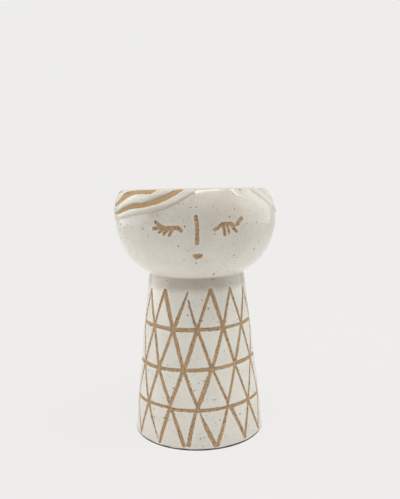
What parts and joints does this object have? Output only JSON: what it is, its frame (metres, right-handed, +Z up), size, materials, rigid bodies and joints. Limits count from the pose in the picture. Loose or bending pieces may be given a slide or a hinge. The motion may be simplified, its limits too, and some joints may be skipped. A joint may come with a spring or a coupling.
{
  "type": "head vase",
  "caption": "Footed vase with a tapered trunk carrying a wide open bowl shaped as a head, with raised wavy hair and closed eyes.",
  "frame": {"origin": "centre of the foot, on the surface that the vase stands on", "axes": "+Z up along the vase's axis, the face looks along -Y, +X to the viewer's right"},
  "size_m": [0.1278, 0.1265, 0.1925],
  "materials": {
    "white_glaze": "glossy warm white glaze with fine iron specks, over stoneware that is left bare in the drawn lines",
    "hair_glaze": "glossy warm white glaze, thin on the crests of the hair",
    "inner_glaze": "satin to glossy warm white glaze inside the vessel"
  },
  "bodies": {
    "root": {"trunk": "white_glaze", "floor_disc": "inner_glaze", "head_bowl": "white_glaze", "left_hairline_lock": "hair_glaze", "left_second_lock": "hair_glaze", "left_third_lock": "hair_glaze", "left_crown_lock": "hair_glaze", "right_temple_lock": "hair_glaze", "right_hairline_lock": "hair_glaze", "right_second_lock": "hair_glaze", "right_third_lock": "hair_glaze", "right_crown_lock": "hair_glaze"}
  },
  "joints": []
}
